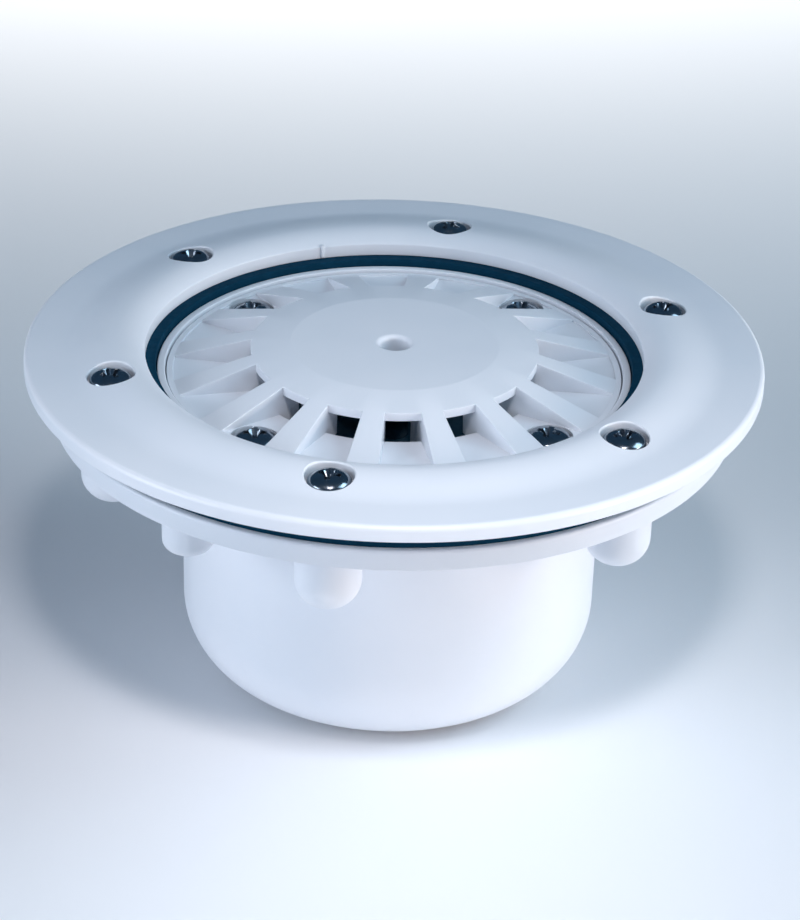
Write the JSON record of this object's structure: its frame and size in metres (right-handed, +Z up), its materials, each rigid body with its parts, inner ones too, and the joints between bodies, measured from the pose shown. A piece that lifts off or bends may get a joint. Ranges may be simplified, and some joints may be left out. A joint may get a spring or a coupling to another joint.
{
  "type": "pool floor inlet",
  "caption": "Round white pool floor inlet: pot with clamping flange for a liner and a ribbed diffuser with a raised cap over an adjustable throttle disc.",
  "frame": {"origin": "middle of the flat bottom of the pot", "axes": "+Z up along the axis of the pot and diffuser; a pocket of the diffuser points along each of +X, +Y, -X and -Y"},
  "size_m": [0.185, 0.185, 0.0919],
  "materials": {
    "white_abs": "satin moulded ABS, white",
    "gasket_rubber": "matt dark rubber",
    "stainless_steel": "polished stainless steel",
    "insert_brass": "turned brass",
    "black_acetal": "plain blue-black acetal"
  },
  "bodies": {
    "inlet": {"inlet_body": "white_abs", "liner_gasket_lower": "gasket_rubber", "liner_gasket_upper": "gasket_rubber", "clamping_flange": "white_abs", "diffuser_plate": "white_abs", "flange_screw_1": "stainless_steel", "flange_screw_2": "stainless_steel", "flange_screw_3": "stainless_steel", "flange_screw_4": "stainless_steel", "flange_screw_5": "stainless_steel", "flange_screw_6": "stainless_steel", "flange_insert_1": "insert_brass", "flange_insert_2": "insert_brass", "flange_insert_3": "insert_brass", "flange_insert_4": "insert_brass", "flange_insert_5": "insert_brass", "flange_insert_6": "insert_brass", "diffuser_screw_1": "stainless_steel", "diffuser_screw_2": "stainless_steel", "diffuser_screw_3": "stainless_steel", "diffuser_screw_4": "stainless_steel", "diffuser_insert_1": "insert_brass", "diffuser_insert_2": "insert_brass", "diffuser_insert_3": "insert_brass", "diffuser_insert_4": "insert_brass", "spindle_retainer": "black_acetal", "retainer_screw_1": "stainless_steel", "retainer_screw_2": "stainless_steel"},
    "spindle": {"throttle_spindle": "stainless_steel"},
    "throttle": {"throttle_disc": "black_acetal"}
  },
  "joints": [
    {"name": "spindle_turn", "type": "hinge", "parent": "inlet", "child": "spindle", "pos_m": [0, 0, 0.08], "axis": [0, 0, -1], "range_deg": [0, 270]},
    {"name": "throttle_lift", "type": "slide", "parent": "inlet", "child": "throttle", "axis": [0, 0, 1], "range_m": [0, 0.0085]}
  ],
  "couplings": [
    {"joint": "spindle_turn", "follows": "throttle_lift", "rad_per_m": 554.39}
  ]
}
